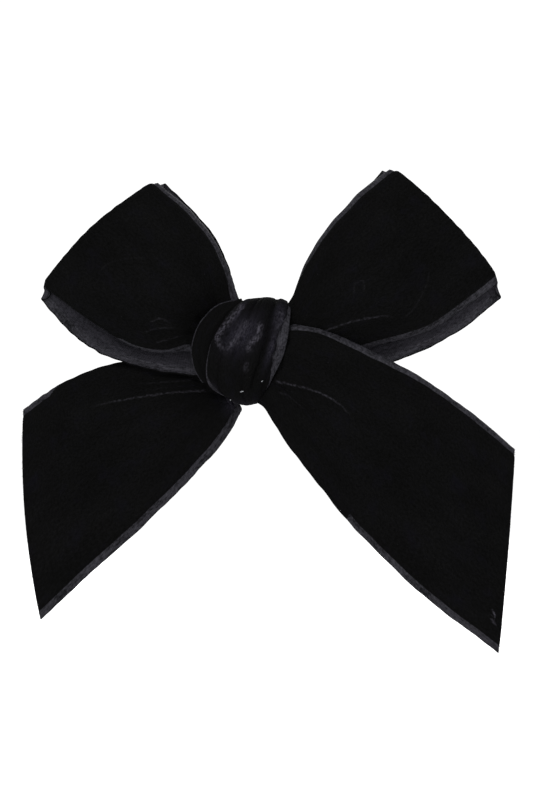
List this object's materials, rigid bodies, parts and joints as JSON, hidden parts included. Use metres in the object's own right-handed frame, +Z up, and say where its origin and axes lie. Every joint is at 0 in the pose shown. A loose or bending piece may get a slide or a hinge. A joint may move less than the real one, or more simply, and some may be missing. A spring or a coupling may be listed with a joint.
{
  "type": "hair bow",
  "caption": "Velvet ribbon hair bow with two flat-creased loops, two slant-cut tails and a wrapped knot, on a lined alligator clip.",
  "frame": {"origin": "centre of the clip's grip zone, on the lining's hair face, straight behind the knot's centre", "axes": "+X towards the wearer's view right of the bow's front, +Y from the bow's front to the hair, +Z up along the bow as worn"},
  "size_m": [0.1127, 0.0304, 0.1113],
  "materials": {
    "velvet_ribbon": "black single-face velvet pile",
    "ribbon_back": "plain woven satin back and selvedge",
    "thread": "twisted polyester thread",
    "nylon_stitch": "clear nylon monofilament",
    "glue_pad": "cured hot-melt glue",
    "clip_steel": "nickel-plated pressed steel",
    "spring_wire": "drawn music wire",
    "grosgrain_lining": "black ribbed grosgrain"
  },
  "bodies": {
    "bow_knot": {"knot_wrap": "velvet_ribbon", "knot_underturn": "velvet_ribbon", "ribbon_core": "ribbon_back", "binding_thread": "thread", "knot_stitches": "nylon_stitch", "adhesive_pad": "glue_pad", "clip_front_jaw": "clip_steel", "clip_liner": "grosgrain_lining", "hinge_pin": "clip_steel", "torsion_spring": "spring_wire"},
    "left_loop": {"left_loop": "velvet_ribbon"},
    "right_loop": {"right_loop": "velvet_ribbon"},
    "left_tail": {"left_tail": "velvet_ribbon"},
    "right_tail": {"right_tail": "velvet_ribbon"},
    "rear_jaw": {"clip_rear_jaw": "clip_steel"}
  },
  "joints": [
    {"name": "jaw_open", "type": "hinge", "parent": "bow_knot", "child": "rear_jaw", "pos_m": [0.017, 0.0032, 0], "axis": [0, 0, -1], "range_deg": [0, 35], "stiffness_Nm_per_rad": 0.06, "springref_deg": -40.11, "deforming": ["torsion_spring"]},
    {"name": "left_loop_flex", "type": "hinge", "parent": "bow_knot", "child": "left_loop", "pos_m": [-0.0122, -0.0124, -0.005], "axis": [0.4824, 0, 0.8759], "range_deg": [0, 18], "stiffness_Nm_per_rad": 0.002},
    {"name": "right_loop_flex", "type": "hinge", "parent": "bow_knot", "child": "right_loop", "pos_m": [0.0116, -0.0078, 0], "axis": [0, 0, 1], "range_deg": [0, 12], "stiffness_Nm_per_rad": 0.002},
    {"name": "left_tail_flex", "type": "hinge", "parent": "bow_knot", "child": "left_tail", "pos_m": [-0.0006, -0.0056, -0.0134], "axis": [0.7511, 0, -0.6601], "range_deg": [0, 25], "stiffness_Nm_per_rad": 0.002},
    {"name": "right_tail_flex", "type": "hinge", "parent": "bow_knot", "child": "right_tail", "pos_m": [0.0054, -0.0152, -0.0137], "axis": [-0.3, 0, -0.9539], "range_deg": [0, 35], "stiffness_Nm_per_rad": 0.002}
  ]
}
